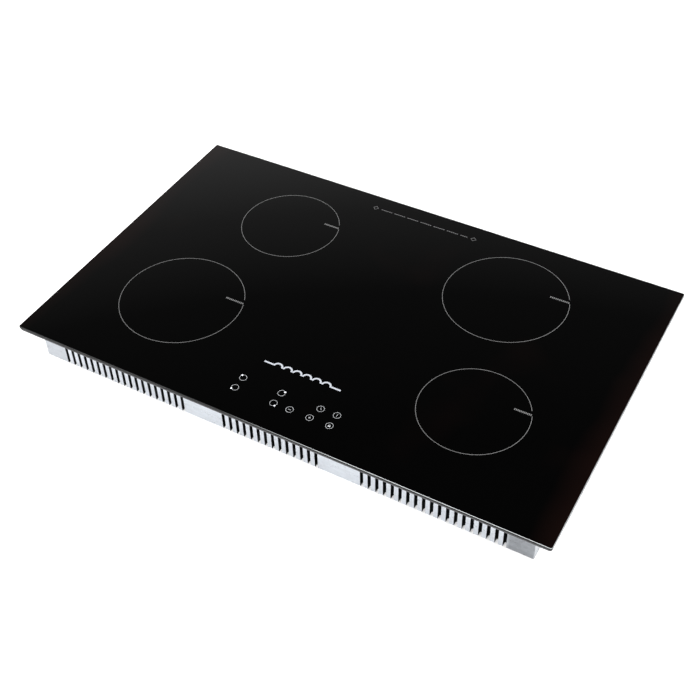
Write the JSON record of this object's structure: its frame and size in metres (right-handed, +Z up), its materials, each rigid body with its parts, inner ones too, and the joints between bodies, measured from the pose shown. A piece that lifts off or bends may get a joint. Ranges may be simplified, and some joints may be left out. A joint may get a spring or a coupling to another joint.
{
  "type": "electric induction cooktop",
  "caption": "Built-in electric induction cooktop: black glass top with printed cooking zones and touch keys over a slotted steel tray with coils, boards and fans.",
  "frame": {"origin": "centre of the tray's underside, which is the bottom centre of the whole cooktop", "axes": "+X to the right along the long front edge, +Y from the control edge to the back, +Z up through the glass"},
  "size_m": [0.8, 0.5, 0.06],
  "materials": {
    "black_glass": "polished black glass ceramic",
    "foam_seal": "closed-cell foam tape",
    "silicone_bond": "cured silicone bead",
    "frame_steel": "zinc-plated sheet",
    "tray_steel": "bright galvanised sheet",
    "screw_steel": "zinc-plated pan head",
    "plate_aluminium": "mill-finish sheet",
    "mica": "pressed mica",
    "copper_litz": "enamelled copper",
    "carrier_plastic": "moulded flame-retardant plastic",
    "ferrite": "sintered ferrite",
    "sensor_ceramic": "white sleeve",
    "board_laminate": "green solder mask",
    "sink_aluminium": "extruded, bare",
    "capacitor_case": "moulded case",
    "fan_plastic": "glass-filled plastic",
    "terminal_plastic": "moulded nylon",
    "gland_nylon": "moulded nylon",
    "print_enamel": "fired ceramic print"
  },
  "bodies": {
    "housing": {"glass_top": "black_glass", "edge_seal": "foam_seal", "bond_bead": "silicone_bond", "top_frame": "frame_steel", "frame_strip_left": "frame_steel", "frame_strip_right": "frame_steel", "base_tray": "tray_steel", "tray_back": "tray_steel", "tray_end_left": "tray_steel", "tray_end_right": "tray_steel", "frame_screw_left_1": "screw_steel", "frame_screw_left_2": "screw_steel", "frame_screw_right_1": "screw_steel", "frame_screw_right_2": "screw_steel", "coil_plate_left": "plate_aluminium", "coil_plate_right": "plate_aluminium", "mica_sheet_back_left": "mica", "coil_winding_back_left": "copper_litz", "coil_carrier_back_left": "carrier_plastic", "ferrite_star_back_left": "ferrite", "pan_sensor_back_left": "sensor_ceramic", "mica_sheet_back_right": "mica", "coil_winding_back_right": "copper_litz", "coil_carrier_back_right": "carrier_plastic", "ferrite_star_back_right": "ferrite", "pan_sensor_back_right": "sensor_ceramic", "mica_sheet_front_left": "mica", "coil_winding_front_left": "copper_litz", "coil_carrier_front_left": "carrier_plastic", "ferrite_star_front_left": "ferrite", "pan_sensor_front_left": "sensor_ceramic", "mica_sheet_front_right": "mica", "coil_winding_front_right": "copper_litz", "coil_carrier_front_right": "carrier_plastic", "ferrite_star_front_right": "ferrite", "pan_sensor_front_right": "sensor_ceramic", "board_carrier_left": "carrier_plastic", "power_board_left": "board_laminate", "heatsink_left": "sink_aluminium", "power_choke_left": "copper_litz", "film_capacitor_left": "capacitor_case", "fan_frame_left": "fan_plastic", "board_carrier_right": "carrier_plastic", "power_board_right": "board_laminate", "heatsink_right": "sink_aluminium", "power_choke_right": "copper_litz", "film_capacitor_right": "capacitor_case", "fan_frame_right": "fan_plastic", "touch_housing": "carrier_plastic", "touch_board": "board_laminate", "filter_board": "board_laminate", "filter_choke": "copper_litz", "terminal_block": "terminal_plastic", "terminal_cover": "carrier_plastic", "cable_gland": "gland_nylon", "gland_nut": "gland_nylon"},
    "fan_left": {"fan_rotor_left": "fan_plastic"},
    "fan_right": {"fan_rotor_right": "fan_plastic"}
  },
  "joints": [
    {"name": "fan_spin_left", "type": "hinge", "parent": "housing", "child": "fan_left", "pos_m": [-0.215, 0.07, 0.0148], "axis": [0, 0, 1], "continuous": true},
    {"name": "fan_spin_right", "type": "hinge", "parent": "housing", "child": "fan_right", "pos_m": [0.215, 0.07, 0.0148], "axis": [0, 0, 1], "continuous": true}
  ]
}
